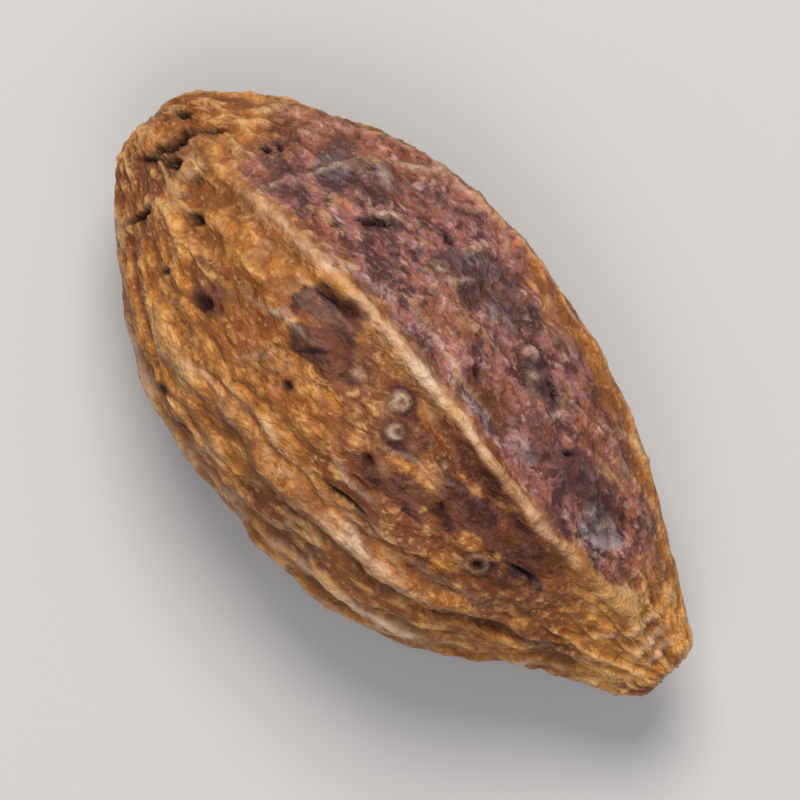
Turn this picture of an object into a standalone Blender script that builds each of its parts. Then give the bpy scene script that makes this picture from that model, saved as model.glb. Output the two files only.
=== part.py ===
"""A dried chebulic myrobalan, the fruit of Terminalia chebula, lying on its side.

It is one solid: an almond-shaped fruit, blunt at one end and drawn out to a square-cut stalk scar
at the other. Its skin has shrunk on to the stone, so that five main ribs and five lesser ones stand
out of it lengthwise, with flattened panels between them and a low net of raised wrinkles across
each panel.

Metres, +Z up. The origin is at the middle of the bounding box's base. +X runs from the blunt end to
the stalk end. A turn is an angle round the length of the fruit: 0 is the top, and it grows towards +Y.
"""

import bisect
import math
from collections import namedtuple

import bmesh
import bpy
from mathutils import Vector, noise

MM = 0.001

# Driving sizes.
LENGTH = 36.3 * MM
WIDTH = 19.1 * MM
HEIGHT = 17.4 * MM
REST_FLAT_DEPTH = 0.42 * MM  # how much of the underside is pressed flat
MESH_TURNS = 116  # faces round the fruit
MESH_RINGS = 46  # faces from end to end

# Half-width along the fruit: (share of the length from the blunt end, share of the greatest half-width).
OUTLINE = (
    (0.0, 0.0),
    (0.07, 0.43),
    (0.18, 0.755),
    (0.29, 0.945),
    (0.42, 1.0),
    (0.50, 0.995),
    (0.60, 0.945),
    (0.70, 0.83),
    (0.80, 0.61),
    (0.87, 0.44),
    (0.945, 0.262),
    (0.985, 0.175),
    (1.0, 0.0),
)
# How far the middle line leans to +Y and rises, along the fruit.
LEAN = (
    (0.0, 0.3 * MM),
    (0.2, 0.1 * MM),
    (0.45, -0.3 * MM),
    (0.69, -0.75 * MM),
    (0.85, -0.4 * MM),
    (1.0, -0.4 * MM),
)
RISE = ((0.0, -0.5 * MM), (0.35, 0.0), (0.6, -0.1 * MM), (0.8, -0.8 * MM), (1.0, -2.2 * MM))

# turn: degrees at mid-length; drift: degrees gained from end to end; height and spread: the crest's
# size; start and end: shares of the length between which it stands out.
Rib = namedtuple("Rib", "turn drift height spread start end")
MAIN_RIBS = (
    Rib(8, -4, 0.75 * MM, 0.58 * MM, 0.08, 0.97),
    Rib(70, 14, 0.42 * MM, 0.70 * MM, 0.06, 0.98),
    Rib(141, -6, 0.45 * MM, 0.75 * MM, 0.05, 0.97),
    Rib(213, 8, 0.45 * MM, 0.75 * MM, 0.06, 0.97),
    Rib(275, -6, 0.40 * MM, 0.70 * MM, 0.06, 0.98),
)
PANEL_SAG = (0.95 * MM, 0.55 * MM, 0.35 * MM, 0.60 * MM, 0.30 * MM)  # after each main rib, to the next
LESSER_RIBS = (
    Rib(-47, 20, 0.55 * MM, 0.60 * MM, 0.30, 0.95),
    Rib(44, 8, 0.16 * MM, 0.70 * MM, 0.15, 0.60),
    Rib(106, 6, 0.34 * MM, 0.70 * MM, 0.10, 0.90),
    Rib(176, 0, 0.22 * MM, 0.70 * MM, 0.15, 0.85),
    Rib(243, 5, 0.36 * MM, 0.70 * MM, 0.10, 0.92),
)
RIBS = MAIN_RIBS + LESSER_RIBS
RIB_WANDER = 3.2  # degrees that a rib strays either way
RIB_WAVES = 4.5  # bends in a rib, end to end
FURROW_SHARE = 0.42  # depth of the furrows beside a rib, as a share of its height
FURROW_SPREAD = 2.3  # their reach, as a multiple of the rib's spread

# The raised net of wrinkles.
NET_HEIGHT = 0.24 * MM
NET_LENGTHWISE = 8.0 * MM  # size of its meshes
NET_CROSSWISE = 3.2 * MM
NET_LINE = 0.14  # half-width of its raised lines, as a share of a mesh
DENT_HEIGHT = 0.30 * MM  # the broad unevenness of the panels
DENT_SIZE = 7.5 * MM

# The stalk scar, and the hollow that the flower left at the blunt end.
SCAR_DEPTH = 0.75 * MM
SCAR_RADIUS = 1.15 * MM
HOLLOW_DEPTH = 0.45 * MM
HOLLOW_RADIUS = 1.3 * MM

SKIN_COLOR = (0.30, 0.135, 0.052, 1.0)
SKIN_ROUGHNESS = 0.52


def curve(points, at):
    """The smooth curve through (place, value) points, with each slope from the points on either side."""
    places = [place for place, _ in points]
    last = len(points) - 1
    i = max(1, min(bisect.bisect(places, at), last))

    def slope(k):
        before, after = points[max(k - 1, 0)], points[min(k + 1, last)]
        return (after[1] - before[1]) / (after[0] - before[0])

    (place0, value0), (place1, value1) = points[i - 1], points[i]
    span = place1 - place0
    t = (at - place0) / span
    ends = (1 + 2 * t) * (1 - t) ** 2 * value0 + t * t * (3 - 2 * t) * value1
    slopes = t * (1 - t) ** 2 * slope(i - 1) + t * t * (t - 1) * slope(i)
    return ends + slopes * span


def swing_of(share):
    """The polar angle, from the blunt end, of a place along the fruit. Both ends are round in it."""
    return 2 * math.asin(math.sqrt(share))


OUTLINE_BY_SWING = tuple((swing_of(share), width) for share, width in OUTLINE)


def bump(distance, reach):
    """1 at a distance of 0, and almost nothing past twice the reach."""
    return math.exp(-((distance / reach) ** 2))


def between(share, start, end):
    """Rises from 0 at start to 1, and falls to 0 again at end."""
    if not start < share < end:
        return 0.0
    return math.sin(math.pi * (share - start) / (end - start)) ** 0.6


def rib_turn(rib, share):
    """Where a rib is at a place along the fruit, in radians."""
    stray = noise.noise(Vector((share * RIB_WAVES, rib.turn, 0.5)))
    return math.radians(rib.turn + rib.drift * (share - 0.5) + RIB_WANDER * stray)


def turn_between(turn, other):
    """The signed angle from one turn to another, within half a round."""
    return (turn - other + math.pi) % (2 * math.pi) - math.pi


def along_ribs(turn, share):
    """Bends the ball's mesh lines so that one runs along the crest of each rib."""
    step = 2 * math.pi / MESH_TURNS
    crests = sorted((round(rib_turn(rib, 0.5) / step) * step, rib_turn(rib, share)) for rib in RIBS)
    first, last = crests[0], crests[-1]
    round_again = [(line + 2 * math.pi, crest + 2 * math.pi) for line, crest in crests]
    turn = first[0] + (turn - first[0]) % (2 * math.pi)
    for (line, crest), (next_line, next_crest) in zip(crests, crests[1:] + round_again[:1]):
        if line <= turn <= next_line:
            return crest + (turn - line) / (next_line - line) * (next_crest - crest)
    return last[1]


def rib_height(rib, share, turn, radius):
    """How far a rib lifts the skin: a crest with a furrow along each side."""
    off = turn_between(turn, rib_turn(rib, share)) * radius
    crest = bump(off, rib.spread) - FURROW_SHARE * bump(off, rib.spread * FURROW_SPREAD)
    return rib.height * crest * between(share, rib.start, rib.end)


def panel_sag(share, turn, radius):
    """How far the skin between two main ribs has sunk from the round."""
    turns = [rib_turn(rib, share) for rib in MAIN_RIBS]
    for here, there, sag in zip(turns, turns[1:] + turns[:1], PANEL_SAG):
        across = (turn - here) % (2 * math.pi)
        panel = (there - here) % (2 * math.pi)
        if across <= panel:
            return sag * math.sin(math.pi * across / panel) ** 2 * radius / (WIDTH / 2)
    return 0.0


def net_height(point):
    """Raised lines where either of two slow noises passes through zero: together they make a net."""
    place = Vector((point.x / NET_LENGTHWISE, point.y / NET_CROSSWISE, point.z / NET_CROSSWISE))
    warp = 0.35 * noise.noise(place * 1.7)
    lifts = []
    for shift in (Vector((3.1 + warp, 0.0, warp)), Vector((0.0, 8.4 + warp, -warp))):
        lifts.append(bump(noise.noise(place + shift), NET_LINE))
    return NET_HEIGHT * max(lifts)


def dent(point):
    """The broad unevenness of the skin."""
    return DENT_HEIGHT * noise.noise(point / DENT_SIZE + Vector((5.0, 2.0, 9.0)))


def end_setback(share, radius):
    """How far the skin is set back along the length, by the scar at one end or the hollow at the other."""
    if share > 0.5:
        return -SCAR_DEPTH * bump(radius, SCAR_RADIUS)
    return HOLLOW_DEPTH * bump(radius, HOLLOW_RADIUS)


def skin_point(direction):
    """The point of the fruit's skin that a direction from the centre of a unit ball stands for."""
    swing = math.acos(max(-1.0, min(1.0, -direction.x)))
    share = math.sin(swing / 2) ** 2
    turn = along_ribs(math.atan2(direction.y, direction.z), share)
    full = curve(OUTLINE_BY_SWING, swing)
    radius = full * WIDTH / 2
    x = (share - 0.5) * LENGTH
    middle = Vector((x, curve(LEAN, share), curve(RISE, share)))
    across = Vector((0.0, math.sin(turn), math.cos(turn)))
    smooth = middle + Vector((0.0, across.y * radius, across.z * full * HEIGHT / 2))
    lift = sum(rib_height(rib, share, turn, radius) for rib in RIBS)
    lift -= panel_sag(share, turn, radius)
    lift += (net_height(smooth) + dent(smooth)) * between(share, 0.0, 1.0)
    lift *= min(1.0, radius / SCAR_RADIUS)
    return smooth + across * lift + Vector((end_setback(share, radius), 0.0, 0.0))


def press_flat(points):
    """Flattens the lowest part of the underside, which the fruit rests on."""
    floor = min(point.co.z for point in points) + REST_FLAT_DEPTH
    for point in points:
        point.co.z = max(floor, point.co.z)


def fit_to_size(points):
    """Brings the skin to its stated size, with the middle of its base at the origin."""
    for axis, size in enumerate((LENGTH, WIDTH, HEIGHT)):
        low = min(point.co[axis] for point in points)
        high = max(point.co[axis] for point in points)
        start = 0.0 if axis == 2 else -size / 2
        for point in points:
            point.co[axis] = start + (point.co[axis] - low) * size / (high - low)


def shape_skin(mesh):
    """Moves a ball's points to the fruit's skin."""
    for point in mesh.verts:
        point.co = skin_point(point.co.normalized())
    press_flat(mesh.verts)
    fit_to_size(mesh.verts)


def skin_material():
    material = bpy.data.materials.new("fruit_skin")
    material.use_nodes = True
    shader = material.node_tree.nodes["Principled BSDF"]
    shader.inputs["Base Color"].default_value = SKIN_COLOR
    shader.inputs["Roughness"].default_value = SKIN_ROUGHNESS
    shader.inputs["Metallic"].default_value = 0.0
    material.diffuse_color = SKIN_COLOR
    return material


def make_fruit():
    """One ball of rings whose poles lie along X, shaped into the fruit."""
    mesh = bmesh.new()
    bmesh.ops.create_uvsphere(mesh, u_segments=MESH_TURNS, v_segments=MESH_RINGS, radius=1.0)
    for point in mesh.verts:
        point.co = Vector((point.co.z, point.co.y, -point.co.x))
    shape_skin(mesh)
    data = bpy.data.meshes.new("fruit")
    mesh.to_mesh(data)
    mesh.free()
    data.shade_smooth()
    data.materials.append(skin_material())
    fruit = bpy.data.objects.new("fruit", data)
    bpy.context.scene.collection.objects.link(fruit)


def main():
    for old in list(bpy.data.objects):
        bpy.data.objects.remove(old)
    make_fruit()


main()
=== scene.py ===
import math

import bpy
import numpy as np
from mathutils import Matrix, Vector, noise


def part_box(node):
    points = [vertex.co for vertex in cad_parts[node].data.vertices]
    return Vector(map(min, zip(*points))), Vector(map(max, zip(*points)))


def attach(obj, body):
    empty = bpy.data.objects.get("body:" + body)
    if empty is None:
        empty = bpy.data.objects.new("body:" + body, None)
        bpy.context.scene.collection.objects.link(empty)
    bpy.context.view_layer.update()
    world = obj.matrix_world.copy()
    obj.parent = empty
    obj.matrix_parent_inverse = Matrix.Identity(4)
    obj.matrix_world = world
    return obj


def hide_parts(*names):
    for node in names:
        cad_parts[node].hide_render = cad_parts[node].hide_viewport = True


# Looks for a dried chebulic myrobalan that lies on its side.
# Lengths are in mm until the finished points are written, in metres. +X is the stalk end and +Z is up.
# A turn is an angle round the fruit: 0 is the top, and it grows towards +Y.

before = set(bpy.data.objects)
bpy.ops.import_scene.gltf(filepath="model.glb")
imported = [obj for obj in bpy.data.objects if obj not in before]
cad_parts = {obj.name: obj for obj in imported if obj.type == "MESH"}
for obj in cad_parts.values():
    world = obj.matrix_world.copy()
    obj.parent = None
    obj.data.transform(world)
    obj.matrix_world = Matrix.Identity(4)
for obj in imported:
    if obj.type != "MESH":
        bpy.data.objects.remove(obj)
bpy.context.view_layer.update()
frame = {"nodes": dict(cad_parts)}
print("frame loaded:", ", ".join(frame["nodes"]))

mm = 0.001

# the fruit's form, the same as the solid's

form = {
    "length": 36.3,
    "width": 19.1,
    "height": 17.4,
    "restFlatDepth": 0.42,  # how much of the underside is pressed flat
    "facesAround": 408,
    "facesAlong": 240,
    "subdivisions": 2,  # how often the ball is subdivided to reach them
    # half-width along the fruit: (share of the length, share of the greatest half-width)
    "outline": (
        (0.0, 0.0),
        (0.07, 0.43),
        (0.18, 0.755),
        (0.29, 0.945),
        (0.42, 1.0),
        (0.50, 0.995),
        (0.60, 0.945),
        (0.70, 0.83),
        (0.80, 0.61),
        (0.87, 0.44),
        (0.945, 0.262),
        (0.985, 0.175),
        (1.0, 0.0),
    ),
    # how far the middle line leans to +Y, and rises
    "lean": ((0.0, 0.3), (0.2, 0.1), (0.45, -0.3), (0.69, -0.75), (0.85, -0.4), (1.0, -0.4)),
    "rise": ((0.0, -0.5), (0.35, 0.0), (0.6, -0.1), (0.8, -0.8), (1.0, -2.2)),
    # turn at mid-length, drift from end to end, height, spread, first and last share of the length
    "mainRibs": (
        (8, -4, 0.75, 0.58, 0.08, 0.97),
        (70, 14, 0.42, 0.70, 0.06, 0.98),
        (141, -6, 0.45, 0.75, 0.05, 0.97),
        (213, 8, 0.45, 0.75, 0.06, 0.97),
        (275, -6, 0.40, 0.70, 0.06, 0.98),
    ),
    "panelSag": (0.95, 0.55, 0.35, 0.60, 0.30),  # after each main rib, to the next
    "lesserRibs": (
        (-47, 20, 0.55, 0.60, 0.30, 0.95),
        (44, 8, 0.16, 0.70, 0.15, 0.60),
        (106, 6, 0.34, 0.70, 0.10, 0.90),
        (176, 0, 0.22, 0.70, 0.15, 0.85),
        (243, 5, 0.36, 0.70, 0.10, 0.92),
    ),
    "ribWander": 3.2,  # degrees
    "ribWaves": 4.5,
    "furrowShare": 0.42,
    "furrowSpread": 2.3,
    "netHeight": 0.24,
    "netLengthwise": 8.0,
    "netCrosswise": 3.2,
    "netLine": 0.14,
    "dentHeight": 0.30,
    "dentSize": 7.5,
    "scarDepth": 0.75,
    "scarRadius": 1.15,
    "hollowDepth": 0.45,
    "hollowRadius": 1.3,
}


def bump(distance, reach):
    return np.exp(-((distance / reach) ** 2))


def fade(value, low, high):
    t = np.clip((value - low) / (high - low), 0, 1)
    return t * t * (3 - 2 * t)


def noiseAt(spots):
    # smooth noise, about -1 to 1, at each row of places
    return np.array([noise.noise(spot) for spot in spots.tolist()])


def smoothCurve(points, at):
    # a cubic between each two points, whose slopes come from the points on either side
    places = np.array([point[0] for point in points])
    values = np.array([point[1] for point in points])
    last = len(points) - 1
    before = np.clip(np.arange(last + 1) - 1, 0, last)
    after = np.clip(np.arange(last + 1) + 1, 0, last)
    slopes = (values[after] - values[before]) / (places[after] - places[before])
    i = np.clip(np.searchsorted(places, at, side="right"), 1, last)
    span = places[i] - places[i - 1]
    t = (at - places[i - 1]) / span
    ends = (1 + 2 * t) * (1 - t) ** 2 * values[i - 1] + t * t * (3 - 2 * t) * values[i]
    return ends + (t * (1 - t) ** 2 * slopes[i - 1] + t * t * (t - 1) * slopes[i]) * span


def between(share, start, end):
    inside = np.clip((share - start) / (end - start), 0, 1)
    return np.sin(math.pi * inside) ** 0.6


def ribTurn(rib, share):
    turn, drift = rib[0], rib[1]
    table = np.linspace(0, 1, 801)
    stray = noiseAt(np.column_stack((table * form["ribWaves"], table * 0 + turn, table * 0 + 0.5)))
    wander = form["ribWander"] * np.interp(share, table, stray)
    return np.radians(turn + drift * (share - 0.5) + wander)


def turnBetween(turn, other):
    return (turn - other + math.pi) % (2 * math.pi) - math.pi


def ribLift(rib, share, turn, radius):
    height, spread, start, end = rib[2:]
    off = turnBetween(turn, ribTurn(rib, share)) * radius
    crest = bump(off, spread) - form["furrowShare"] * bump(off, spread * form["furrowSpread"])
    return height * crest * between(share, start, end)


def panelSag(share, turn, radius):
    turns = [ribTurn(rib, share) for rib in form["mainRibs"]]
    total = np.zeros(len(share))
    for here, there, sag in zip(turns, turns[1:] + turns[:1], form["panelSag"]):
        across = (turn - here) % (2 * math.pi)
        panel = (there - here) % (2 * math.pi)
        sunk = sag * np.sin(math.pi * across / panel) ** 2 * radius / (form["width"] / 2)
        total = np.where(across <= panel, sunk, total)
    return total


def netLift(points):
    stretch = (form["netLengthwise"], form["netCrosswise"], form["netCrosswise"])
    places = points / stretch
    warp = 0.35 * noiseAt(places * 1.7)
    none = np.zeros(len(points))
    first = noiseAt(places + np.column_stack((3.1 + warp, none, warp)))
    second = noiseAt(places + np.column_stack((none, 8.4 + warp, -warp)))
    line = form["netLine"]
    return form["netHeight"] * np.maximum(bump(first, line), bump(second, line))


def dentLift(points):
    return form["dentHeight"] * noiseAt(points / form["dentSize"] + (5.0, 2.0, 9.0))


def outlineAt(swing):
    # half-width, as a share of the greatest, by the angle from the blunt end: both ends are round in it
    outline = [(2 * math.asin(math.sqrt(place)), wide) for place, wide in form["outline"]]
    return smoothCurve(outline, swing)


def smoothSkin(swing, turn):
    # the fruit without its finer relief: points, share of the length and radius of each
    share = np.sin(swing / 2) ** 2
    full = outlineAt(swing)
    radius = full * form["width"] / 2
    across = np.column_stack((np.zeros(len(turn)), np.sin(turn), np.cos(turn)))
    middle = np.column_stack((
        (share - 0.5) * form["length"],
        smoothCurve(form["lean"], share),
        smoothCurve(form["rise"], share),
    ))
    reach = np.column_stack((radius, radius, full * form["height"] / 2))
    points = middle + across * reach
    lift = sum(ribLift(rib, share, turn, radius) for rib in form["mainRibs"] + form["lesserRibs"])
    lift = lift - panelSag(share, turn, radius)
    lift = lift + (netLift(points) + dentLift(points)) * between(share, 0.0, 1.0)
    lift = lift * np.minimum(1.0, radius / form["scarRadius"])
    points = points + across * lift[:, None]
    scar = form["scarDepth"] * bump(radius, form["scarRadius"])
    hollow = form["hollowDepth"] * bump(radius, form["hollowRadius"])
    points[:, 0] += np.where(share > 0.5, -scar, hollow)
    return points, share, radius


def fitToBox(points, low, high):
    floor = points[:, 2].min() + form["restFlatDepth"]
    points[:, 2] = np.maximum(points[:, 2], floor)
    lowest, highest = points.min(axis=0), points.max(axis=0)
    return low + (points - lowest) * (high - low) / (highest - lowest)


def makeBall():
    # a ball with its poles on the fruit's length
    coarser = 2 ** form["subdivisions"]
    bpy.ops.object.select_all(action="DESELECT")
    bpy.ops.mesh.primitive_uv_sphere_add(
        segments=form["facesAround"] // coarser,
        ring_count=form["facesAlong"] // coarser,
        radius=1.0,
        location=(0, 0, 0),
    )
    ball = bpy.context.active_object
    ball.name = "fruitSkin"
    bpy.ops.object.mode_set(mode="EDIT")
    bpy.ops.mesh.select_all(action="SELECT")
    bpy.ops.transform.rotate(value=math.pi / 2, orient_axis="Y", center_override=(0, 0, 0))
    bpy.ops.object.mode_set(mode="OBJECT")
    finer = ball.modifiers.new("finer", "SUBSURF")
    finer.subdivision_type = "SIMPLE"
    finer.levels = form["subdivisions"]
    finer.render_levels = form["subdivisions"]
    bpy.ops.object.modifier_apply(modifier=finer.name)
    return ball


def readPoints(mesh, name):
    values = np.zeros(len(mesh.vertices) * 3)
    mesh.vertices.foreach_get(name, values)
    return values.reshape(-1, 3)


def writePoints(mesh, points):
    mesh.vertices.foreach_set("co", (points * mm).ravel())
    mesh.update()


def evenSwing(ball):
    # the swing of each point, with the rings spaced evenly along the skin
    swings = np.linspace(0, math.pi, 3000)
    wideAt = outlineAt(swings) * form["width"] / 2
    alongAt = np.sin(swings / 2) ** 2 * form["length"]
    walked = np.concatenate(([0], np.cumsum(np.hypot(np.diff(wideAt), np.diff(alongAt)))))
    ringShare = np.arccos(np.clip(-ball[:, 0], -1, 1)) / math.pi
    return np.interp(ringShare * walked[-1], walked, swings)


def shapeFruit(mesh):
    # brings the ball to the solid's form and size
    ball = readPoints(mesh, "co")
    ball = ball / np.linalg.norm(ball, axis=1)[:, None]
    swing = evenSwing(ball)
    turn = np.arctan2(ball[:, 1], ball[:, 2])
    points, share, radius = smoothSkin(swing, turn)
    low, high = (np.array(corner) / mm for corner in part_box("fruit"))
    points = fitToBox(points, low, high)
    writePoints(mesh, points)
    print("fruit: form fitted to the solid")
    return SkinPoints(points, share, turn, radius)


# where each kind of skin lies


def unrolled(share, turn, radius):
    # places that follow the skin lengthwise, and close up a little towards both ends
    half = form["width"] / 2
    reach = half * np.sqrt(np.maximum(radius, 0.02) / half)
    along = (share - 0.5) * form["length"]
    return np.column_stack((along, reach * np.sin(turn), reach * np.cos(turn)))


def scaled(places, sizes, seed):
    # places in units of a pattern's sizes along and across the fruit, moved on by its seed
    return places / (sizes[0], sizes[1], sizes[1]) + seed


class SkinPoints:
    # the fruit's points: where each lies, and how much of each kind of skin it is, from 0 to 1

    def __init__(self, points, share, turn, radius):
        self.points = points
        self.share = share
        self.turn = turn
        self.radius = radius
        self.places = unrolled(share, turn, radius)
        # unevenness in three sizes
        self.patchy = noiseAt(scaled(self.places, (5.0, 2.6), seed=3.3))
        self.ragged = noiseAt(scaled(self.places, (1.6, 1.0), seed=13.3))
        self.jagged = noiseAt(scaled(self.places, (0.62, 0.5), seed=27.3))
        # lines along the fruit, in degrees
        rimRib = np.degrees(ribTurn(form["mainRibs"][4], share))
        self.lines = {
            "central": np.degrees(ribTurn(form["mainRibs"][0], share)),
            "right": np.degrees(ribTurn(form["mainRibs"][1], share)),
            "left": np.degrees(ribTurn(form["lesserRibs"][0], share)),
            "hem": rimRib + 4 + 9 * fade(share, 0.40, 0.62),
        }
        self.upper = fade(points[:, 2], 0.36 * form["height"], 0.5 * form["height"])
        self.purple = np.maximum(self.purplePanel(), 0.8 * self.lowPurple())
        self.tip = fade(share + 0.02 * self.patchy, 0.86, 0.96)
        self.blunt = 1 - fade(share + 0.02 * self.patchy, 0.12, 0.30)
        self.panel = self.calmPanel()

    def purplePanel(self):
        # from the central rib to the right one, short of both ends
        share, patchy, ragged = self.share, self.patchy, self.ragged
        degrees = np.degrees(self.turn)
        purple = fade(degrees + 3 * ragged, self.lines["central"] + 0.5, self.lines["central"] + 6)
        edge = self.lines["right"] + 9 - 18 * fade(share, 0.38, 0.60)
        purple = purple * (1 - fade(degrees + 5 * patchy + 7 * ragged, edge - 8, edge + 3))
        purple = purple * fade(share + 0.03 * patchy + 0.03 * ragged, 0.09, 0.20)
        return purple * (1 - fade(share + 0.02 * patchy + 0.03 * ragged, 0.81, 0.92))

    def lowPurple(self):
        # patches of the same low on the right side
        degrees = np.degrees(self.turn)
        purple = fade(degrees, 118, 146) * (1 - fade(degrees + 6 * self.ragged, 166, 178))
        purple = purple * fade(self.patchy, -0.25, 0.3)
        return purple * fade(self.share, 0.15, 0.3) * (1 - fade(self.share, 0.65, 0.85))

    def calmPanel(self):
        # the broad panel left of the central rib, which is smoother than the flank
        fromLeft = np.degrees(self.turn) - self.lines["left"]
        panel = fade(fromLeft + 4 * self.ragged, 6, 16) * (1 - self.purple) * self.upper
        return panel * fade(self.share, 0.12, 0.25) * (1 - fade(self.share, 0.78, 0.92))

    def offLine(self, line):
        # mm round the fruit from a line along it, which is given in degrees
        return turnBetween(self.turn, np.radians(line)) * self.radius

    def paleAndHighlit(self, line, reach, centre, spread):
        # how pale a crest is, partly worn and partly a painted highlight: line in degrees, reach in mm,
        # centre and spread in shares of the length
        off = self.offLine(line) + 0.2 * self.ragged + 0.1 * self.jagged
        unevenPaleness = np.clip(0.8 + 0.6 * self.patchy + 0.7 * self.ragged + 0.4 * self.jagged, 0.1, 1)
        return bump(off, reach) * bump(self.share - centre, spread) * unevenPaleness


# the finer relief

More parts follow.
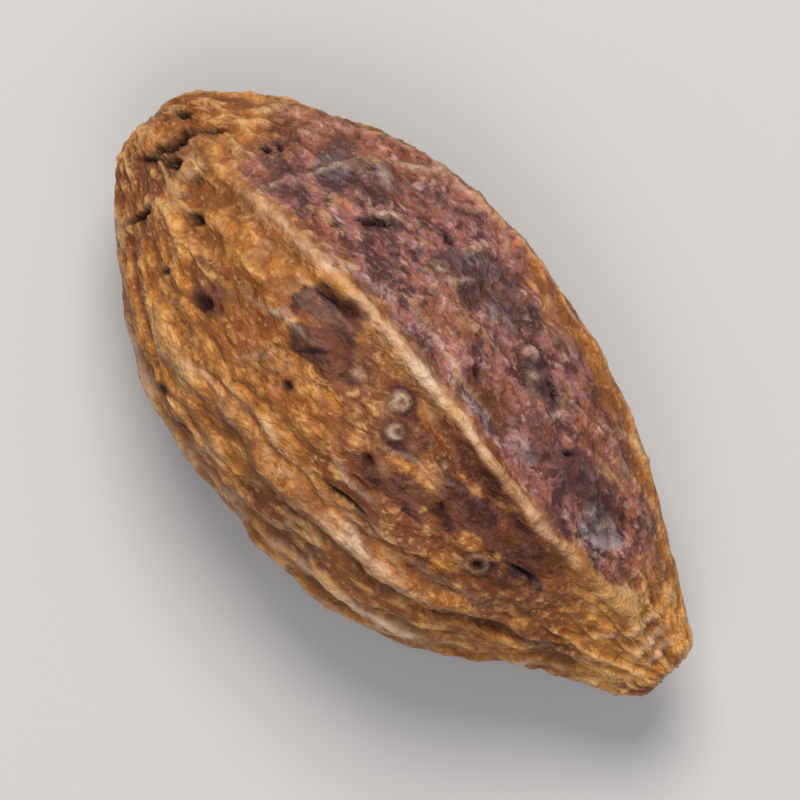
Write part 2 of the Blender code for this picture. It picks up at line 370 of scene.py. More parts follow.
# Marks are in mm, as seen from above: (along, across, long, wide, turn, amount).
# long and wide are the half-sizes, and turn is in degrees from the fruit's length.
relief = {
    # heights, and sizes along and across the fruit, of what covers the whole skin
    "foldHeight": 0.17,  # wavy folds along the fruit, mostly on its flanks
    "foldSize": (7.5, 2.0),
    "wrinkleHeight": 0.075,  # crisp wrinkles, in three sizes
    "wrinkleSize": (3.6, 2.0),
    "curlHeight": 0.06,  # tight curls
    "curlSize": (1.495, 1.15),
    "lumpHeight": 0.16,  # rounded lumps
    "lumpSize": (2.625, 2.1),
    "wartHeight": 0.06,  # small warts
    "wartSize": (1.235, 0.95),
    "swellHeight": 0.15,
    "swellSize": (4.2, 4.2),
    "pitDepth": 0.12,
    "pitSize": (2.1, 2.1),  # the skin has at most one pit in such a square
    # what follows the ribs
    "crestHeight": 0.14,  # the sharp crest of a rib
    "ribShadeLine": (0.62, 0.15),  # a line of painted shade next to the central rib, in colour only: distance from its middle, half-width
    # the narrow groove outside the left rib: depth, half-width, first and last share of the length
    "groove": (0.36, 0.26, 0.40, 0.93),
    # a fold and the furrow beside it: height and depth, both half-widths, distance between them,
    # first and last share of the length
    "flankFold": (0.08, 0.11, 0.35, 0.25, 0.7, 0.10, 0.55),
    "hemFold": (0.14, 0.16, 0.35, 0.30, 0.9, 0.16, 0.92),
    "holes": (  # amount: depth
        (-16.4, 0.9, 0.95, 0.28, 72, 0.60),
        (-15.7, 0.2, 0.32, 0.22, 20, 0.35),
        (-15.6, 2.5, 0.75, 0.12, 50, 0.28),
        (-17.1, 2.1, 0.36, 0.24, 60, 0.34),
        (-13.0, -0.8, 0.34, 0.30, 0, 0.42),
        (-15.1, -2.6, 0.75, 0.15, 78, 0.34),
        (-16.6, -0.4, 0.70, 0.12, 40, 0.24),
        (-9.8, -3.3, 0.34, 0.28, 20, 0.20),
        (-15.6, 0.3, 0.40, 0.15, 70, 0.20),
        (-12.7, 4.3, 0.26, 0.16, -30, 0.22),
        (-13.0, 3.7, 0.20, 0.14, 0, 0.20),
        (-12.3, -3.6, 0.20, 0.12, 60, 0.20),
        (-8.5, -7.6, 0.34, 0.12, 0, 0.14),
        (-6.4, -8.2, 0.42, 0.09, 5, 0.12),
        (4.7, -2.1, 0.22, 0.20, 0, 0.24),
        (7.9, -2.9, 0.20, 0.18, 0, 0.26),
        (9.6, -1.6, 0.80, 0.10, 14, 0.20),
        (1.4, -5.05, 1.40, 0.09, 6, 0.15),
        (-4.4, -3.3, 0.26, 0.18, 0, 0.16),
        (4.5, 5.5, 0.46, 0.17, -32, 0.42),
        (-6.9, 5.0, 0.75, 0.13, 38, 0.30),
        (-4.0, 6.9, 0.30, 0.20, 0, 0.24),
        (-6.0, 0.9, 0.80, 0.10, 12, 0.12),
        (-4.6, -1.2, 0.60, 0.09, 40, 0.12),
        (0.7, -3.0, 0.26, 0.20, 0, 0.14),
        (7.2, 3.9, 0.34, 0.14, 40, 0.22),
        (1.5, 3.6, 0.30, 0.14, -30, 0.20),
    ),
    # small craters and knobs, with a painted highlight on the ring or knob and painted shade in the moat
    # round it: along, across, radius of the ring, half-width of its line, height
    "scabs": (
        (-0.1, 0.0, 0.32, 0.15, 0.11),
        (0.7, -1.2, 0.28, 0.15, 0.12),
        (7.9, -2.9, 0.42, 0.14, 0.04),
        (-5.7, -2.9, 0.40, 0.14, 0.04),
        (-2.5, -0.5, 0.0, 0.26, 0.09),
        (3.4, 5.3, 0.0, 0.30, 0.14),
        (2.6, 5.9, 0.22, 0.16, 0.10),
        (11.0, 3.1, 0.0, 0.28, 0.10),
        (-15.1, 0.7, 0.0, 0.38, 0.15),
        (-3.3, 5.7, 0.20, 0.14, 0.09),
        (3.5, -0.7, 0.0, 0.18, 0.07),
        (10.9, 2.7, 0.0, 0.24, 0.10),
        (10.2, 2.1, 0.0, 0.18, 0.07),
    ),
    "ridgelets": (  # amount: height
        (-7.1, -1.3, 1.50, 0.13, 10, 0.15),
        (2.6, -1.5, 2.10, 0.10, 13, 0.10),
        (-6.6, 5.6, 0.75, 0.13, 38, 0.18),
        (-7.4, 8.2, 1.30, 0.14, 30, 0.18),
        (-10.4, 5.0, 1.10, 0.13, 62, 0.12),
        (-8.3, 6.9, 0.80, 0.13, -20, 0.12),
        (-11.6, 3.0, 0.60, 0.13, 70, 0.12),
        (-2.3, 6.0, 0.90, 0.12, 50, 0.12),
        (0.8, 5.4, 1.10, 0.12, -35, 0.12),
        (5.6, 4.6, 0.90, 0.12, 55, 0.12),
        (-6.5, -3.4, 0.85, 0.14, 60, 0.08),
        (-5.2, -2.4, 0.65, 0.13, -25, 0.08),
        (16.4, 0.5, 1.20, 0.20, 84, 0.22),
        (15.6, 0.9, 0.90, 0.16, 76, 0.16),
        (17.1, 0.6, 1.10, 0.17, 92, 0.22),
        (14.6, -0.9, 0.70, 0.16, 56, 0.14),
        (9.5, 6.5, 1.60, 0.16, 14, 0.14),
        (2.9, -6.1, 1.50, 0.17, 2, 0.24),
        (0.9, -4.3, 1.60, 0.16, -4, 0.12),
        (3.2, -4.9, 2.00, 0.13, 8, 0.12),
        (7.6, -4.6, 2.20, 0.18, 16, 0.10),
        (-3.4, -5.4, 2.60, 0.16, -3, 0.14),
        (-6.8, -6.0, 2.20, 0.16, -8, 0.12),
    ),
    # crests that are pale, partly worn and partly a painted highlight: (line, degrees from it, reach in mm,
    # centre and spread along, amount)
    "paleAndHighlitCrests": (
        ("central", 10, 0.13, 0.50, 0.07, 0.55),
        ("left", 0, 0.20, 0.58, 0.06, 1.0),
        ("left", 6.5, 0.14, 0.55, 0.06, 0.8),
        ("right", 8, 0.30, 0.80, 0.15, 0.85),
        ("right", 10, 0.40, 0.35, 0.08, 0.4),
        ("hem", 0, 0.40, 0.38, 0.20, 1.0),
        ("hem", 0, 0.40, 0.64, 0.14, 1.0),
        ("hem", 0, 0.32, 0.84, 0.08, 0.9),
    ),
    # crests with a painted cream highlight, on the hem and the left rib
    "creamHighlitCrests": (
        ("hem", 1, 0.24, 0.64, 0.09, 0.80),
        ("left", -1, 0.14, 0.58, 0.045, 0.95),
    ),
}


def crests(places, sizes, line, seed, warp):
    # thin raised lines where a warped noise passes through zero
    spots = scaled(places, sizes, seed)
    bend = warp * noiseAt(spots * 1.9 + 31.7)
    value = noiseAt(spots + np.column_stack((bend * 0.6, bend, -bend)))
    return bump(value, line)


def ridged(places, sizes, seed):
    # crisp crests in three sizes at once, about -2 to 1.5
    spots = scaled(places, sizes, seed)
    values = [noise.ridged_multi_fractal(spot, 0.8, 2.1, 3, 1.0, 2.0) for spot in spots.tolist()]
    return (np.array(values) - 1.05) / 0.34


def nearestCells(places, sizes, seed, warp):
    # distances to the two nearest cell centres of a drawn-out net, and a draw of -1 to 1 for the nearest
    spots = scaled(places, sizes, seed)
    bendA = warp * noiseAt(spots * 0.9 + 11.3)
    bendB = warp * noiseAt(spots * 0.9 + 47.9)
    spots = spots + np.column_stack((bendA, bendB, bendA - bendB))
    found = []
    for spot in spots.tolist():
        distances, centres = noise.voronoi(spot)
        found.append((distances[0], distances[1], noise.cell(centres[0] * 37.0)))
    return np.array(found).T


def oval(points, mark):
    # distance from a mark's middle, which is 1 at its edge
    along, across, long, wide, turn = mark[:5]
    x, y = points[:, 0] - along, points[:, 1] - across
    c, s = math.cos(math.radians(turn)), math.sin(math.radians(turn))
    return np.sqrt(((x * c + y * s) / long) ** 2 + ((y * c - x * s) / wide) ** 2)


def skinRelief(at):
    # what covers the whole skin: heights of the crinkle and the lumps, the swell, and where the pits are
    places, purple, tip = at.places, at.purple, at.tip
    fold = crests(places, relief["foldSize"], line=0.13, seed=5.1, warp=0.45)
    wrinkle = ridged(places, relief["wrinkleSize"], seed=2.7)
    curl = crests(places, relief["curlSize"], line=0.20, seed=19.4, warp=1.2)
    near, beyond, _ = nearestCells(places, relief["lumpSize"], seed=8.1, warp=0.5)
    lump = 1 - fade(near, 0.05, 0.75)
    crease = bump(beyond - near, 0.10)
    near, beyond, draw = nearestCells(places, relief["wartSize"], seed=4.4, warp=0.6)
    wart = (1 - fade(near, 0.0, 0.65)) * (0.6 + 0.6 * np.abs(draw)) - 0.6 * bump(beyond - near, 0.14)
    swell = noiseAt(scaled(places, relief["swellSize"], seed=7.7))
    near, _, draw = nearestCells(places, relief["pitSize"], seed=3.9, warp=0.0)
    pit = bump(near + 0.03 * at.jagged, 0.04 + 0.07 * np.abs(draw)) * (draw > -0.2)
    lively = np.clip(0.9 + 0.8 * at.patchy, 0.3, 1.5)
    fine = relief["foldHeight"] * fold * (1 - 0.7 * purple) * (1 - 0.75 * at.panel)
    fine = fine + relief["wrinkleHeight"] * wrinkle * lively * (1 - 0.35 * at.panel)
    fine = fine + relief["curlHeight"] * curl * (0.7 + 0.7 * purple + 1.8 * tip)
    fine = fine + relief["wartHeight"] * wart * (0.7 + 0.7 * purple + 0.5 * tip)
    lumpy = 0.25 + 0.75 * purple + 0.4 * tip + 0.45 * at.blunt
    lumps = relief["lumpHeight"] * (lump - 0.5 * crease) * lumpy
    return fine, lumps, swell, pit


def placedMarks(at):
    # the marks that are placed one by one: their height, the shade painted into their holes and moats, and
    # their pale colour, which is partly the skin's own and partly a painted highlight
    lift = np.zeros(len(at.points))
    paintedShade = np.zeros(len(at.points))
    paleAndHighlight = np.zeros(len(at.points))
    for mark in relief["holes"]:
        reach = oval(at.points, mark) + 0.22 * at.ragged + 0.30 * at.jagged
        hole = np.exp(-np.maximum(reach, 0) ** 4)
        lift = lift + (0.05 * bump(reach - 1.5, 0.4) - mark[5] * hole) * at.upper
        # shade painted into each hole, darkest towards its middle
        paintedShade = np.maximum(paintedShade, hole ** 0.35 * at.upper)
    for along, across, ring, line, height in relief["scabs"]:
        distance = np.hypot(at.points[:, 0] - along, at.points[:, 1] - across)
        distance = distance + 0.16 * at.ragged + 0.14 * at.jagged
        moat = distance - ring - 2 * line
        knob = bump(distance - ring, line) * np.clip(0.7 + 1.5 * at.jagged, 0.1, 1) * at.upper
        lift = lift + height * knob - 0.07 * bump(moat, line) * at.upper
        # a painted highlight on each ring or knob
        paleAndHighlight = np.maximum(paleAndHighlight, min(1.0, 7 * height) * knob)
        # shade painted into the moat round each scab
        paintedShade = np.maximum(paintedShade, 0.45 * bump(moat, 0.8 * line) * at.upper)
    bent = at.points.copy()
    bent[:, 1] += 0.14 * np.sin(at.points[:, 0] * 2.0) + 0.3 * at.ragged + 0.1 * at.jagged
    for mark in relief["ridgelets"]:
        ridge = np.exp(-oval(bent, mark) ** 2) * at.upper
        lift = lift + mark[5] * ridge
        # ridgelets pale along their tops, partly pale skin and partly a painted highlight
        paleAndHighlight = np.maximum(paleAndHighlight, min(0.75, 3.2 * mark[5]) * ridge)
    return lift, paintedShade, paleAndHighlight


def foldLift(off, share, fold):
    # off is the distance from the fold's middle
    height, depth, width, furrowWidth, apart, start, end = fold
    return (height * bump(off, width) - depth * bump(off - apart, furrowWidth)) * between(share, start, end)


def ribLines(at, swell):
    # what follows the ribs: its height, and where the groove, the crests and the painted shade next to them
    # are
    share, ragged, jagged = at.share, at.ragged, at.jagged
    depth, width, start, end = relief["groove"]
    groove = bump(at.offLine(at.lines["left"] - 8.0 + 2.5 * swell + 1.5 * ragged), width)
    groove = groove * between(share, start, end)
    flank = at.offLine(-66 + 3 * swell) + 0.2 * ragged + 0.5
    hem = at.offLine(at.lines["hem"]) + 0.15 * ragged
    lift = -depth * groove
    lift = lift + foldLift(flank, share, relief["flankFold"])
    lift = lift + foldLift(hem, share, relief["hemFold"])
    distance, width = relief["ribShadeLine"]
    # painted shade in a thin line next to the central rib; it darkens the colour and does not change the
    # height
    ribShadeLine = bump(at.offLine(at.lines["central"]) + distance + 0.25 * ragged + 0.12 * jagged, width)
    ribShadeLine = ribShadeLine * between(share, 0.10, 0.80) * np.clip(0.5 + at.patchy, 0, 1)
    crest = np.zeros(len(share))
    ribSideShade = np.zeros(len(share))
    jog = 0.22 * noiseAt(scaled(at.places, (1.9, 9.0), seed=23.0)) + 0.12 * ragged + 0.05 * jagged
    for rib in form["mainRibs"] + form["lesserRibs"]:
        height, _, start, end = rib[2:]
        off = turnBetween(at.turn, ribTurn(rib, share)) * at.radius + jog
        standing = between(share, start, end) * min(1.0, height / 0.5)
        if rib in form["lesserRibs"]:
            standing = standing * (0.30 + 0.35 * fade(share, 0.42, 0.52))
        standing = standing * (1 - 0.7 * fade(share, 0.76, 0.88))
        crest = np.maximum(crest, bump(off, 0.31 + 0.09 * at.patchy + 0.05 * jagged) * standing)
        # painted shade along both sides of each rib
        ribSideShade = np.maximum(ribSideShade, bump(np.abs(off) - 0.85, 0.28) * standing)
    lift = lift + relief["crestHeight"] * crest
    return lift, groove, ribShadeLine, crest, ribSideShade


def crestPaleAndHighlights(at, name):
    paleAndHighlit = np.zeros(len(at.points))
    for line, degrees, reach, centre, spread, amount in relief[name]:
        paleAndHighlit = np.maximum(paleAndHighlit, amount * at.paleAndHighlit(at.lines[line] + degrees, reach, centre, spread))
    return paleAndHighlit


def raiseRelief(mesh, at):
    # moves the points out along their normals, and returns what the colours follow
    normals = readPoints(mesh, "normal")
    fine, lumps, swell, pit = skinRelief(at)
    placed, paintedShade, paleAndHighlight = placedMarks(at)
    ribs, groove, ribShadeLine, crest, ribSideShade = ribLines(at, swell)
    fine = fine * (1 - 0.4 * crest)
    # less relief on the resting flat, towards both ends and on the right rim near the narrow end
    calm = 1 - 0.8 * fade(at.points[:, 2], 1.2, 0.0)
    narrowing = np.clip(at.radius / 2.2, 0.15, 1)
    fromRight = np.degrees(at.turn) - at.lines["right"]
    edgeCalm = 1 - 0.65 * bump(fromRight - 6, 30) * fade(at.share, 0.66, 0.86)
    broad = lumps + relief["swellHeight"] * swell
    placed = placed + ribs - relief["pitDepth"] * pit
    total = ((fine + broad) * edgeCalm + placed) * narrowing * calm
    raised = at.points + normals * total[:, None]
    raised[:, 2] = np.maximum(raised[:, 2], 0.0)
    writePoints(mesh, raised)
    print("fruit: fine relief raised")

    level = fine + 0.5 * lumps
    level = (level - level.mean()) / level.std()
    # painted shade in the pits, in the groove, next to the central rib, and along both sides of the ribs
    # off the purple panel
    paintedShade = np.maximum(paintedShade, 0.75 * pit * narrowing)
    paintedShade = np.maximum(paintedShade, 0.55 * np.maximum(groove, ribShadeLine))
    paintedShade = np.maximum(paintedShade, 0.28 * ribSideShade * (1 - at.purple))
    # the central rib's crest is pale, partly worn and partly a painted highlight
    ribPaleAndHighlight = 0.95 * at.paleAndHighlit(at.lines["central"], 0.38 - 0.18 * fade(at.share, 0.46, 0.66), 0.47, 0.23)
    masks = {
        # high on the relief's crests and low in its valleys; the colour paints shade into the valleys and
        # lightens the crests
        "crest": np.clip(0.5 + 0.2 * level, 0, 1),
        "rib": crest,
        "ribPaleAndHighlight": np.maximum(ribPaleAndHighlight, crestPaleAndHighlights(at, "paleAndHighlitCrests")),
        "paintedShade": np.clip(paintedShade, 0, 1),
        "paleAndHighlight": np.clip(np.maximum(paleAndHighlight, crestPaleAndHighlights(at, "creamHighlitCrests")), 0, 1),
    }
    return masks, raised


# patches of colour, placed as the marks are. amount: how much of the patch is covered
tints = {
    "soot": (
        (-0.8, 6.7, 2.9, 1.1, 4, 0.80),
        (-3.3, 6.1, 1.1, 0.7, 30, 0.60),
        (4.0, 5.5, 1.3, 0.55, -10, 0.80),
        (-9.5, 5.9, 2.2, 1.2, 14, 0.55),
        (-6.9, 5.1, 1.1, 0.45, 38, 0.65),
        (9.0, 3.4, 2.2, 1.2, -12, 0.55),
        (9.8, -1.6, 1.3, 0.40, 14, 0.70),
        (-12.6, 3.8, 1.1, 0.7, -20, 0.45),
        (5.9, 3.6, 1.4, 0.8, -20, 0.45),
        (-5.9, 0.9, 0.9, 0.25, 12, 0.50),
    ),
    "plum": (  # where the purple comes through on the other panel
        (-5.4, 0.6, 1.80, 1.12, 10, 1.0),
        (-4.5, -0.8, 1.70, 1.12, 20, 1.0),
        (7.0, -1.1, 3.3, 1.2, 10, 0.90),
        (2.6, -3.0, 2.2, 0.95, 14, 0.82),
        (-9.9, -3.0, 1.0, 0.7, 20, 0.75),
        (0.9, -0.6, 2.1, 1.2, -40, 0.70),
        (5.2, 0.3, 2.2, 0.7, -4, 0.62),
        (-2.6, -0.6, 1.4, 0.8, 0, 0.45),
        (9.6, -2.2, 1.8, 0.7, 14, 0.62),
        (-12.4, 4.6, 1.6, 0.9, -30, 0.55),
        (-16.0, 1.9, 1.3, 0.8, 62, 0.45),
    ),
    "red": (
        (-12.2, 6.1, 2.0, 1.1, 30, 0.75),
        (-10.9, -2.5, 1.2, 0.7, 20, 0.60),
        (-1.4, 4.4, 2.2, 0.9, 6, 0.85),
        (-7.6, 2.9, 2.8, 0.7, -12, 0.65),
        (7.6, 5.4, 1.7, 0.8, -18, 0.70),
        (10.6, 4.2, 2.4, 0.8, -22, 0.55),
        (6.5, -0.2, 5.8, 1.3, -6, 0.90),
        (-0.8, -0.9, 3.8, 1.7, -4, 0.75),
        (3.4, -3.6, 4.2, 1.8, 4, 0.66),
        (9.5, -2.9, 3.0, 1.4, 12, 0.62),
        (0.5, -8.0, 3.4, 0.9, -4, 0.60),
        (-8.5, 8.3, 3.2, 1.1, 26, 0.75),
        (-16.6, -1.5, 1.7, 1.0, 60, 0.85),
        (-15.0, -3.6, 1.7, 0.8, 52, 0.75),
        (-9.0, -1.9, 3.0, 0.7, 12, 0.45),
        (12.6, -3.2, 2.6, 0.6, 20, 0.55),
    ),
    "gold": (
        (-12.2, -1.6, 2.6, 1.6, 10, 0.62),
        (-6.2, -5.0, 4.4, 1.3, -4, 0.75),
        (-0.6, -3.9, 1.8, 0.9, 0, 0.70),
        (-14.2, 2.0, 1.8, 1.2, 0, 0.62),
        (12.3, 0.4, 2.2, 0.9, -2, 0.90),
        (14.8, -0.4, 2.2, 1.8, 0, 0.80),
        (10.4, -5.2, 3.8, 0.7, 22, 0.60),
        (9.3, 6.9, 5.2, 0.6, -22, 0.80),
        (-9.0, -0.2, 1.6, 0.8, 10, 0.48),
    ),
    # grey-blue patches painted as the purple skin's cool sheen, and grey strips of painted shade next to
    # the central rib
    "greySheenAndShade": (
        (10.7, 2.4, 1.35, 0.75, -14, 1.00),
        (-2.4, 7.0, 1.6, 0.6, 14, 0.52),
        (-3.8, 2.6, 3.6, 0.42, -4, 0.38),
        (1.8, 2.4, 3.0, 0.50, -8, 0.36),
        (-10.0, 5.7, 1.1, 0.7, 30, 0.55),
        (0.4, 6.3, 1.4, 0.5, 10, 0.55),
        (5.4, 2.6, 2.0, 0.7, -8, 0.45),
    ),
}


def tintMask(points, name, ragged):
    mask = np.zeros(len(points))
    for spot in tints[name]:
        soft = 1 - fade(oval(points, spot) + ragged, 0.65, 1.40)
        mask = np.maximum(mask, spot[5] * soft)
    return mask


def spreadTints(points, at):
    # how much of each patch of colour each point has
    soft = 0.45 * at.ragged + 0.25 * at.jagged
    masks = {name: tintMask(points, name, soft) * at.upper for name in tints}
    lower = 1 - at.upper
    lowerSoot = fade(noiseAt(scaled(at.places, (4.5, 2.5), seed=61.0)), 0.15, 0.5) * lower
    lowerRed = fade(noiseAt(scaled(at.places, (6.0, 3.0), seed=71.0)), -0.1, 0.4) * lower
    masks["soot"] = np.maximum(masks["soot"], 0.5 * lowerSoot)
    masks["red"] = np.maximum(masks["red"], 0.7 * lowerRed)
    masks["gold"] = np.maximum(masks["gold"], 0.8 * at.tip)
    return masks


def makeFruit():
    fruit = makeBall()
    mesh = fruit.data
    at = shapeFruit(mesh)
    attributes, raised = raiseRelief(mesh, at)
    attributes.update(spreadTints(raised, at))
    attributes.update({"purple": at.purple, "tip": at.tip, "upper": at.upper})
    for name, values in attributes.items():
        layer = mesh.attributes.new(name, "FLOAT", "POINT")
        layer.data.foreach_set("value", values.astype(np.float32))
    bpy.ops.object.shade_smooth()
    return fruit


fruit = makeFruit()


# the skin

skin = {
    "ochre": (0.290, 0.086, 0.015),
    "ochreLight": (0.665, 0.342, 0.108),
    "gold": (0.430, 0.158, 0.026),
    "tipGold": (0.610, 0.245, 0.034),
    "red": (0.150, 0.036, 0.013),
    "rust": (0.350, 0.100, 0.022),
    "brown": (0.150, 0.044, 0.012),
    "russet": (0.270, 0.085, 0.034),
    "purple": (0.250, 0.092, 0.078),
    "purpleDark": (0.062, 0.021, 0.021),
    "purpleLight": (0.455, 0.240, 0.215),
    "ember": (0.420, 0.110, 0.045),
    "plum": (0.036, 0.012, 0.012),
    "plumLight": (0.135, 0.045, 0.031),
    "soot": (0.036, 0.015, 0.018),
    # painted cool sheen and painted grey shade
    "greySheenAndShade": (0.300, 0.225, 0.225),
    # crests lighter: partly worn skin, partly a painted highlight
    "crest": (0.660, 0.390, 0.152),
    "ribCrest": (0.560, 0.310, 0.150),
    # pale crests: partly worn, partly a painted highlight
    "ribPaleAndHighlight": (0.700, 0.480, 0.330),
    "ribGold": (0.560, 0.290, 0.100),
    # painted shade in the valleys and creases
    "valleyShade": (0.130, 0.035, 0.008),
    # the colour of the painted shade in holes, pits, moats, the groove and next to the ribs
    "hole": (0.012, 0.005, 0.006),
    # pale skin and painted highlights on the knobs, ridgelets and cream crests
    "creamAndHighlight": (0.800, 0.600, 0.420),
    # mottling: (pattern, its value where there is none, where it is full, amount, colour)
    "ochreMottling": (
        ("mottle", 0.53, 0.70, 0.60, "ochreLight"),
        ("streak", 0.47, 0.30, 0.38, "red"),
        # blisters lighter on their tops and browner round their edges, following the blister bump: partly
        # skin tone, partly painted highlight and shade
        ("blisters", 0.38, 0.10, 0.58, "ochreLight"),
        ("blisters", 0.44, 0.66, 0.55, "brown"),
        ("spots", 0.54, 0.70, 0.55, "ochreLight"),
    ),
    "purpleMottling": (
        ("embers", 0.59, 0.68, 0.90, "ember"),
        # blister tops lighter, following the blister bump: partly skin tone, partly a painted highlight
        ("blisters", 0.36, 0.10, 0.75, "purpleLight"),
        ("spots", 0.54, 0.70, 0.78, "purpleLight"),
        ("spots", 0.47, 0.37, 0.85, "purpleDark"),
    ),
    "roughness": (0.34, 0.58),  # on the crests, and between them
    "specular": (0.34, 0.03),  # on open skin, and in the holes and the plum patches
    "specularTint": (1.0, 0.80, 0.62),
    "coat": 0.10,
    "coatRoughness": 0.20,
    # heights in mm of what is too fine for the mesh
    "wartBump": 0.042,
    "creaseBump": 0.022,
    "wrinkleBump": 0.064,
    "grainBump": 0.012,
    "blisterBump": 0.070,
}


def newNode(tree, kind, **settings):
    node = tree.nodes.new(kind)
    for name, value in settings.items():
        setattr(node, name, value)
    return node


class Look:
    # short ways to add nodes to one material

    def __init__(self, name):
        self.material = bpy.data.materials.new(name)
        self.material.use_nodes = True
        self.tree = self.material.node_tree
        self.shader = self.tree.nodes["Principled BSDF"]
        self.place = newNode(self.tree, "ShaderNodeTexCoord").outputs["Object"]

    def link(self, source, target):
        if isinstance(source, (int, float)):
            target.default_value = source
        elif isinstance(source, tuple):
            target.default_value = (*source, 1.0)
        else:
            self.tree.links.new(source, target)

    def attribute(self, name):
        return newNode(self.tree, "ShaderNodeAttribute", attribute_name=name).outputs["Fac"]

    def stretched(self, sizes):
        # the place on the object in units of the sizes, in mm along and across the fruit
        mapping = newNode(self.tree, "ShaderNodeMapping")
        along, across = 1 / (sizes[0] * mm), 1 / (sizes[1] * mm)
        mapping.inputs["Scale"].default_value = (along, across, across)
        self.tree.links.new(self.place, mapping.inputs["Vector"])
        return mapping.outputs["Vector"]

    def noise(self, sizes, detail=3.0, rough=0.55, distortion=0.0):
        node = newNode(self.tree, "ShaderNodeTexNoise")
        node.inputs["Scale"].default_value = 1.0
        node.inputs["Detail"].default_value = detail
        node.inputs["Roughness"].default_value = rough
        node.inputs["Distortion"].default_value = distortion
        self.tree.links.new(self.stretched(sizes), node.inputs["Vector"])
        return node.outputs["Fac"]

    def cells(self, sizes, warp, feature="F1"):
        # warp is how far a cell's edge strays, as a share of a cell
        place = self.stretched(sizes)
        bend = newNode(self.tree, "ShaderNodeTexNoise")
        bend.inputs["Scale"].default_value = 1.3
        bend.inputs["Detail"].default_value = 1.0
        self.tree.links.new(place, bend.inputs["Vector"])
        shift = newNode(self.tree, "ShaderNodeVectorMath", operation="MULTIPLY_ADD")
        self.tree.links.new(bend.outputs["Color"], shift.inputs[0])
        shift.inputs[1].default_value = (warp, warp, warp)
        self.tree.links.new(place, shift.inputs[2])
        node = newNode(self.tree, "ShaderNodeTexVoronoi", feature=feature)
        node.inputs["Scale"].default_value = 1.0
        self.tree.links.new(shift.outputs[0], node.inputs["Vector"])
        return node.outputs["Distance"]

    def math(self, operation, first, second):
        node = newNode(self.tree, "ShaderNodeMath", operation=operation)
        self.link(first, node.inputs[0])
        self.link(second, node.inputs[1])
        return node.outputs[0]

    def times(self, *values):
        product = values[0]
        for value in values[1:]:
            product = self.math("MULTIPLY", product, value)
        return product

    def plus(self, *values):
        total = values[0]
        for value in values[1:]:
            total = self.math("ADD", total, value)
        return total

    def spread(self, value, low, high, start=0.0, end=1.0):
        # start where the value is low, end where it is high, and smooth between
        node = newNode(self.tree, "ShaderNodeMapRange", interpolation_type="SMOOTHSTEP")
        self.link(value, node.inputs["Value"])
        for name, number in (("From Min", low), ("From Max", high), ("To Min", start), ("To Max", end)):
            node.inputs[name].default_value = number
        return node.outputs["Result"]

    def mix(self, amount, first, second):
        node = newNode(self.tree, "ShaderNodeMix", data_type="RGBA")
        self.link(amount, node.inputs["Factor"])
        self.link(first, node.inputs[6])
        self.link(second, node.inputs[7])
        return node.outputs[2]

    def patch(self, name, by, full=0.54):
        # a patch whose edge and inside are broken up by a finer pattern
        wide = self.plus(self.attribute(name), self.math("SUBTRACT", self.times(by, 1.6), 0.8))
        return self.spread(wide, 0.26, full)


def skinPatterns(look):
    # sizes in mm, along and across the fruit
    return {
        "broad": look.noise((6.5, 3.4), detail=2),
        "under": look.noise((9.0, 4.0), detail=1),
        "mottle": look.noise((1.5, 1.1), detail=4, distortion=0.6),
        "spots": look.noise((0.72, 0.60), detail=4, rough=0.65, distortion=0.5),
        "streak": look.noise((3.4, 0.7), detail=3, distortion=0.3),
        "embers": look.noise((1.5, 1.1), detail=3, rough=0.6, distortion=0.6),
        "wrinkles": look.noise((0.80, 0.55), detail=3, rough=0.6),
        "grain": look.noise((0.20, 0.16), detail=2),
        "warts": look.cells((0.60, 0.42), warp=0.7),
        "blisters": look.cells((1.10, 0.85), warp=1.1),
        "creases": look.cells((1.35, 0.95), warp=1.4, feature="DISTANCE_TO_EDGE"),
    }


def mottled(look, pattern, color, layers):
    for name, none, full, amount, tone in layers:
        color = look.mix(look.spread(pattern[name], none, full, 0.0, amount), color, skin[tone])
    return color


def ochreColor(look, pattern):
    # ochre and gold, with rust on the lower side
    mottle, spots, tip = pattern["mottle"], pattern["spots"], look.attribute("tip")
    color = look.mix(look.spread(pattern["broad"], 0.38, 0.62), skin["ochre"], skin["gold"])
    underTone = look.mix(look.spread(pattern["under"], 0.40, 0.60), skin["rust"], skin["ochre"])
    color = look.mix(look.spread(look.attribute("upper"), 1.0, 0.0, 0.0, 0.65), color, underTone)
    color = look.mix(look.times(look.patch("gold", mottle), 0.85), color, skin["gold"])
    color = look.mix(look.times(tip, 0.8), color, skin["tipGold"])
    color = look.mix(look.times(look.patch("red", mottle), 0.85), color, skin["red"])
    color = mottled(look, pattern, color, skin["ochreMottling"])
    darkSpots = look.times(look.spread(spots, 0.46, 0.30, 0.0, 0.65), look.spread(tip, 0.0, 1.0, 1.0, 0.35))
    return look.mix(darkSpots, color, skin["brown"])


def purpleColor(look, pattern):
    mottle = pattern["mottle"]
    color = look.mix(look.spread(mottle, 0.40, 0.55), skin["purpleDark"], skin["purple"])
    color = look.mix(look.times(look.patch("red", mottle), 0.6), color, skin["russet"])
    return mottled(look, pattern, color, skin["purpleMottling"])


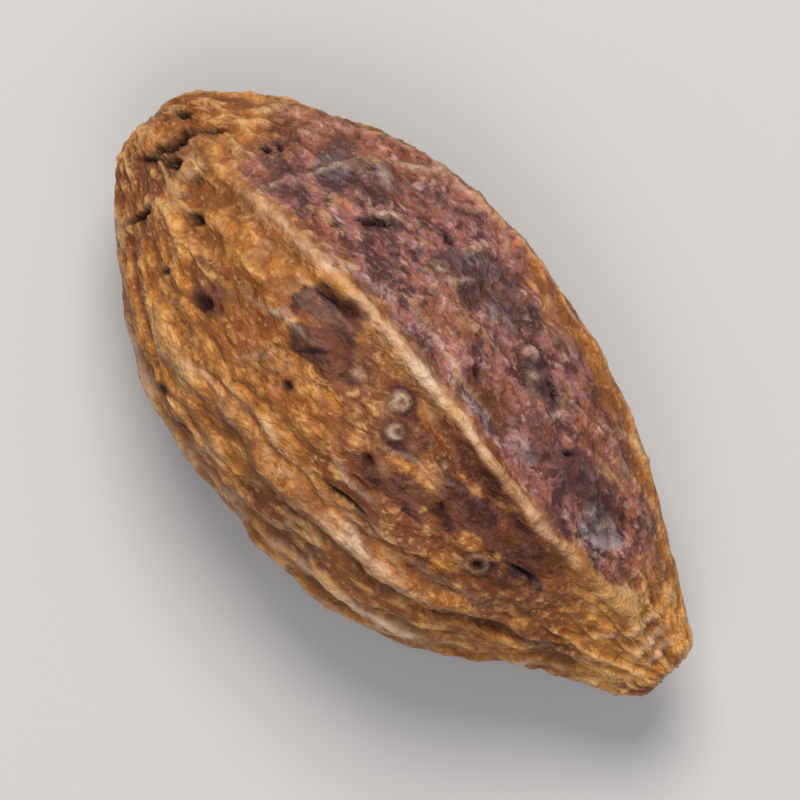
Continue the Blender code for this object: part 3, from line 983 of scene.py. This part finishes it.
def skinColor(look, pattern, purple, plum):
    mottle, spots, crest = pattern["mottle"], pattern["spots"], look.attribute("crest")
    color = look.mix(purple, ochreColor(look, pattern), purpleColor(look, pattern))
    plumTone = look.mix(look.spread(pattern["embers"], 0.42, 0.58), skin["plum"], skin["plumLight"])
    color = look.mix(look.times(plum, 0.90), color, plumTone)
    # painted cool sheen on the grey patches, and painted grey shade next to the central rib
    color = look.mix(look.times(look.patch("greySheenAndShade", spots, 0.75), 0.90), color, skin["greySheenAndShade"])
    # painted shade in the valleys, and crests lighter, partly worn and partly a painted highlight, less so
    # on the plum patches
    plumLess = look.spread(look.attribute("plum"), 0.15, 0.7, 1.0, 0.25)
    color = look.mix(look.spread(crest, 0.44, 0.16, 0.0, 0.60), color, skin["valleyShade"])
    crestWearAndHighlight = look.times(look.spread(crest, 0.56, 0.95), look.spread(purple, 0.0, 1.0, 0.55, 0.35))
    color = look.mix(look.times(crestWearAndHighlight, plumLess), color, skin["crest"])
    color = look.mix(look.times(look.patch("soot", spots), 0.7), color, skin["soot"])
    # painted shade in the creases between the cells, in patches
    patchily = look.spread(pattern["broad"], 0.42, 0.58)
    creaseShade = look.times(look.spread(pattern["creases"], 0.07, 0.0, 0.0, 0.40), patchily)
    color = look.mix(creaseShade, color, skin["valleyShade"])
    # wart tops lighter: partly worn, partly a painted highlight
    wartTone = look.mix(purple, skin["crest"], skin["purpleLight"])
    wartWearAndHighlight = look.times(look.spread(pattern["warts"], 0.30, 0.05, 0.0, 0.34), plumLess)
    wartWearAndHighlight = look.times(wartWearAndHighlight, look.spread(purple, 0.0, 1.0, 1.0, 0.6))
    color = look.mix(wartWearAndHighlight, color, wartTone)
    # the crests of the ribs, some of them pale, partly worn and partly a painted highlight, and then the
    # marks
    ribAmount = look.spread(look.attribute("rib"), 0.30, 0.95)
    ribAmount = look.times(ribAmount, look.spread(spots, 0.36, 0.60, 0.30, 0.85))
    color = look.mix(ribAmount, color, skin["ribCrest"])
    ribTone = look.mix(look.spread(mottle, 0.40, 0.56), skin["ribGold"], skin["ribPaleAndHighlight"])
    ribPaleAndHighlight = look.times(look.attribute("ribPaleAndHighlight"), look.spread(spots, 0.32, 0.56, 0.35, 0.95))
    color = look.mix(ribPaleAndHighlight, color, ribTone)
    # pale skin and painted highlights on the knobs, ridgelets and cream crests
    paleAmount = look.times(look.attribute("paleAndHighlight"), look.spread(spots, 0.36, 0.62, 0.35, 0.85))
    color = look.mix(paleAmount, color, skin["creamAndHighlight"])
    # painted shade in the holes, pits, moats, the groove and next to the ribs
    return look.mix(look.times(look.attribute("paintedShade"), 0.97), color, skin["hole"])


def skinHeight(look, pattern):
    # noise stays near its middle, so it takes about 4 times the height to show so much
    return look.plus(
        look.times(look.math("SUBTRACT", 1.0, pattern["warts"]), skin["wartBump"]),
        look.spread(pattern["creases"], 0.0, 0.14, -skin["creaseBump"], 0.0),
        look.times(pattern["wrinkles"], 4 * skin["wrinkleBump"]),
        look.spread(pattern["blisters"], 0.60, 0.05, 0.0, skin["blisterBump"]),
        look.times(pattern["grain"], 4 * skin["grainBump"]),
    )


def makeSkin():
    look = Look("driedFruitSkin")
    sockets = look.shader.inputs
    pattern = skinPatterns(look)
    plum = look.patch("plum", pattern["spots"], 0.80)
    look.link(skinColor(look, pattern, look.attribute("purple"), plum), sockets["Base Color"])

    smooth, dull = skin["roughness"]
    byCrest = look.spread(look.attribute("crest"), 0.35, 0.75, dull, smooth)
    bySpots = look.spread(pattern["spots"], 0.35, 0.65, 0.05, -0.05)
    look.link(look.plus(byCrest, bySpots), sockets["Roughness"])
    shining, matt = skin["specular"]
    unlit = look.plus(look.attribute("paintedShade"), look.times(plum, 0.65))
    sockets["Specular IOR Level"].default_value = shining  # the open skin's level, on the socket as well as through the link
    look.link(look.spread(unlit, 0.3, 0.9, shining, matt), sockets["Specular IOR Level"])
    sockets["Specular Tint"].default_value = (*skin["specularTint"], 1.0)
    sockets["Coat Weight"].default_value = skin["coat"]
    sockets["Coat Roughness"].default_value = skin["coatRoughness"]

    bumpNode = newNode(look.tree, "ShaderNodeBump")
    bumpNode.inputs["Distance"].default_value = mm
    look.link(skinHeight(look, pattern), bumpNode.inputs["Height"])
    look.tree.links.new(bumpNode.outputs["Normal"], sockets["Normal"])
    return look.material


fruit.data.materials.clear()
fruit.data.materials.append(makeSkin())
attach(fruit, "root")
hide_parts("fruit")
print("fruit: skin finished")


# floor, lights and camera, in metres

studio = {
    "floorSize": 3.0,
    "floorColor": (0.500, 0.482, 0.468),
    "floorPatches": 60.0,  # mm: the floor is very slightly uneven in tone
    # each light: distance towards the top of the view, height, width, watts, colour
    "keySoftbox": (0.36, 0.58, 0.36, 4.3, (1.0, 0.985, 0.96)),
    "topFill": (-0.22, 0.70, 0.60, 2.3, (0.93, 0.96, 1.0)),
    "roomLight": 0.30,
    "roomColor": (0.92, 0.95, 1.0),
    "cameraTurn": 45.5,  # degrees: the fruit's length slopes that far down to the right
    "cameraHeight": 0.40,  # above the frame's level
    "frameWidth": 0.038,  # how much the view takes in at that level
    "frameLevel": 0.012,
    "cameraAlong": -0.0002,  # along the fruit, from its middle
}


def makeFloor():
    bpy.ops.object.select_all(action="DESELECT")
    bpy.ops.mesh.primitive_plane_add(size=studio["floorSize"], location=(0, 0, 0))
    floor = bpy.context.active_object
    floor.name = "floor"
    look = Look("palePlain")
    tone = look.noise((studio["floorPatches"], studio["floorPatches"]), detail=1)
    low = tuple(value * 0.985 for value in studio["floorColor"])
    look.link(look.mix(tone, low, studio["floorColor"]), look.shader.inputs["Base Color"])
    look.shader.inputs["Roughness"].default_value = 0.75
    floor.data.materials.append(look.material)


def makeLight(name):
    # a round softbox that faces the fruit
    upward, height, width, power, color = studio[name]
    turn = math.radians(studio["cameraTurn"])
    place = Vector((-math.sin(turn), math.cos(turn), 0)) * upward + Vector((0, 0, height))
    data = bpy.data.lights.new(name, "AREA")
    data.shape = "DISK"
    data.size = width
    data.energy = power
    data.color = color
    lamp = bpy.data.objects.new(name, data)
    lamp.location = place
    lamp.rotation_euler = place.to_track_quat("Z", "Y").to_euler()
    bpy.context.scene.collection.objects.link(lamp)


def makeRoom():
    world = bpy.data.worlds.new("room")
    bpy.context.scene.world = world
    world.use_nodes = True
    background = world.node_tree.nodes["Background"]
    background.inputs["Color"].default_value = (*studio["roomColor"], 1.0)
    background.inputs["Strength"].default_value = studio["roomLight"]


def makeCamera():
    data = bpy.data.cameras.new("camera")
    data.sensor_width = 36.0
    data.lens = data.sensor_width * studio["cameraHeight"] / studio["frameWidth"]
    data.clip_start = 0.01
    data.clip_end = 10.0
    camera = bpy.data.objects.new("camera", data)
    camera.location = (studio["cameraAlong"], 0.0, studio["cameraHeight"] + studio["frameLevel"])
    camera.rotation_euler = (0, 0, math.radians(studio["cameraTurn"]))
    bpy.context.scene.collection.objects.link(camera)
    bpy.context.scene.camera = camera


makeFloor()
makeLight("keySoftbox")
makeLight("topFill")
makeRoom()
makeCamera()
bpy.context.scene.view_settings.view_transform = "Standard"
print("studio ready")
